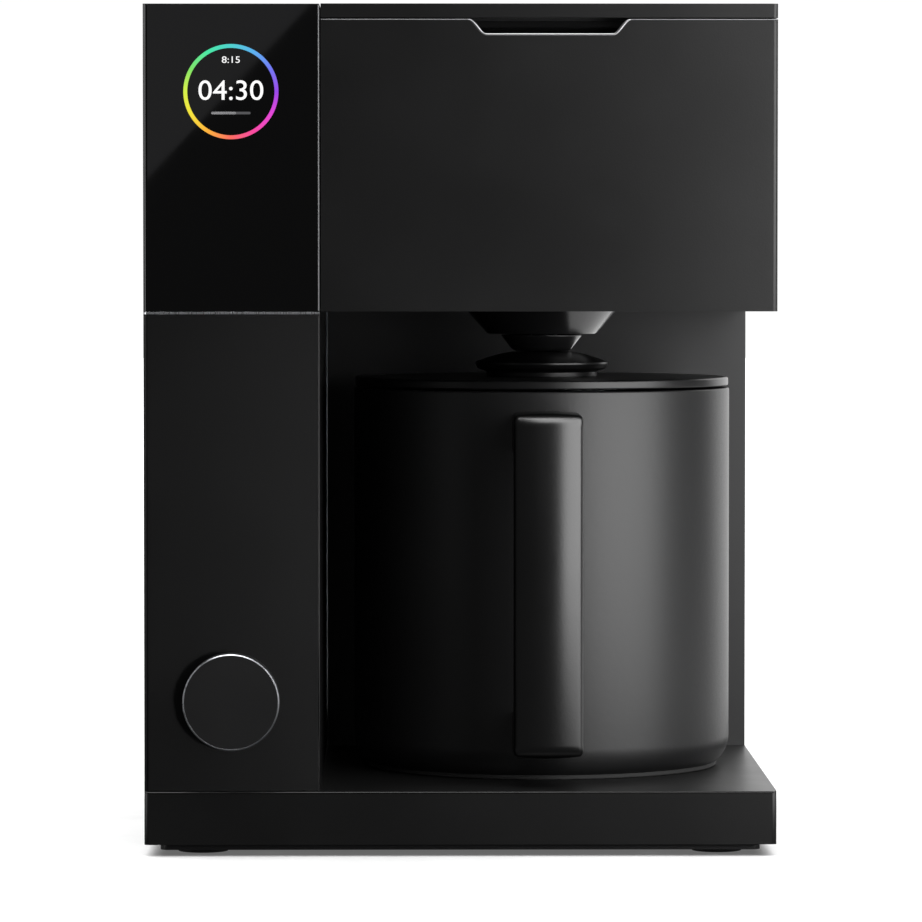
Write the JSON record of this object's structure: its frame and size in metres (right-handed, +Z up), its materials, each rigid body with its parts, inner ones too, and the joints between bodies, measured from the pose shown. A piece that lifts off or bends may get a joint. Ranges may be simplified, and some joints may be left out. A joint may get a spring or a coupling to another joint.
{
  "type": "drip coffee brewer",
  "caption": "Compact countertop drip coffee brewer with a tall control column, dial, hinged brew head lid, thermal carafe and lift-out rear water tank.",
  "frame": {"origin": "on the table under the middle of the overall box, at the feet's lower faces", "axes": "+Z up, +Y from the front panel to the back, +X to the viewer's right when facing the front"},
  "size_m": [0.226, 0.238, 0.304],
  "materials": {
    "housing_plastic": "satin, fine moulded grain",
    "inner_plastic": "satin moulded plastic",
    "black_glass": "polished black cover glass",
    "bright_trim": "fine brushed",
    "rubber_black": "matte",
    "stainless": "brushed",
    "aluminium_cast": "as cast",
    "circuit_board": "solder mask over glass fibre",
    "brass_contact": "bright",
    "silicone_grey": "translucent grey silicone",
    "wire_insulation": "pvc insulation",
    "smoke_plastic": "clear smoke-grey plastic",
    "carafe_coat": "satin black powder coat",
    "carafe_plastic": "satin, fine moulded grain"
  },
  "bodies": {
    "housing": {"base_pan": "housing_plastic", "bottom_plate": "inner_plastic", "rubber_feet": "rubber_black", "bottom_screws": "stainless", "column_shell": "housing_plastic", "column_front_panel": "housing_plastic", "trim_strip": "bright_trim", "display_glass": "black_glass", "display_module": "inner_plastic", "control_board": "circuit_board", "encoder_body": "inner_plastic", "encoder_nut": "stainless", "inner_frame": "stainless", "power_supply": "circuit_board", "water_pump": "inner_plastic", "flow_meter": "inner_plastic", "heater": "aluminium_cast", "supply_hose": "silicone_grey", "pump_hose": "silicone_grey", "feed_hose": "silicone_grey", "hot_water_tube": "silicone_grey", "wiring_loom": "wire_insulation", "power_inlet": "inner_plastic", "inlet_contacts": "brass_contact", "tower_shell": "housing_plastic", "head_shell": "housing_plastic", "head_front_panel": "housing_plastic", "chamber_liner": "inner_plastic", "port_seal": "silicone_grey", "hinge_brackets": "inner_plastic", "lid_hinge_pins": "stainless", "basket_body": "carafe_plastic", "valve_spring": "stainless", "tank_dock": "inner_plastic"},
    "brew_lid": {"lid_panel": "housing_plastic", "lid_liner": "inner_plastic", "shower_head": "silicone_grey", "lid_gasket": "silicone_grey"},
    "knob_switch": {"switch_plunger": "silicone_grey"},
    "knob": {"knob": "housing_plastic", "encoder_shaft": "stainless"},
    "drip_valve": {"valve_cup": "carafe_plastic", "valve_stem": "carafe_plastic", "valve_seal": "silicone_grey"},
    "tank": {"tank_body": "smoke_plastic", "tank_seal": "silicone_grey", "tank_lid_pins": "stainless", "tank_valve_spring": "stainless"},
    "tank_cover": {"tank_lid": "housing_plastic"},
    "tank_outlet_valve": {"tank_valve": "silicone_grey"},
    "carafe": {"carafe_shell": "carafe_coat", "carafe_liner": "stainless", "carafe_foot": "rubber_black", "carafe_handle": "carafe_plastic", "handle_studs": "stainless"},
    "carafe_cover": {"carafe_lid": "carafe_plastic", "carafe_lid_gasket": "silicone_grey", "brew_cap": "carafe_plastic", "mixing_tube": "carafe_plastic"}
  },
  "joints": [
    {"name": "lid_hinge", "type": "hinge", "parent": "housing", "child": "brew_lid", "pos_m": [0, 0.072, 0.3015], "axis": [-1, 0, 0], "range_deg": [0, 90]},
    {"name": "knob_press", "type": "slide", "parent": "housing", "child": "knob_switch", "axis": [0, 1, 0], "range_m": [0, 0.0006], "stiffness_N_per_m": 3000, "springref_m": -0.001},
    {"name": "knob_turn", "type": "hinge", "parent": "knob_switch", "child": "knob", "pos_m": [-0.08165, -0.107, 0.056], "axis": [0, -1, 0], "continuous": true},
    {"name": "drip_valve_drop", "type": "slide", "parent": "housing", "child": "drip_valve", "axis": [0, 0, -1], "range_m": [0, 0.0028], "deforming": ["valve_spring"]},
    {"name": "carafe_slide", "type": "slide", "parent": "housing", "child": "carafe", "axis": [0, -1, 0], "range_m": [0, 0.24]},
    {"name": "carafe_lid_turn", "type": "hinge", "parent": "carafe", "child": "carafe_cover", "pos_m": [0.0316, 0, 0.165], "axis": [0, 0, 1], "range_deg": [0, 60]},
    {"name": "tank_lift", "type": "slide", "parent": "housing", "child": "tank", "axis": [0, 0, 1], "range_m": [0, 0.28]},
    {"name": "tank_lid_hinge", "type": "hinge", "parent": "tank", "child": "tank_cover", "pos_m": [0.03, 0.116, 0.3019], "axis": [-1, 0, 0], "range_deg": [0, 100]},
    {"name": "tank_valve_drop", "type": "slide", "parent": "tank", "child": "tank_outlet_valve", "axis": [0, 0, -1], "range_m": [0, 0.0028], "deforming": ["tank_valve_spring"]}
  ],
  "couplings": [
    {"joint": "drip_valve_drop", "follows": "carafe_slide", "ratio": 0.0116},
    {"joint": "tank_valve_drop", "follows": "tank_lift", "ratio": 0.01}
  ]
}
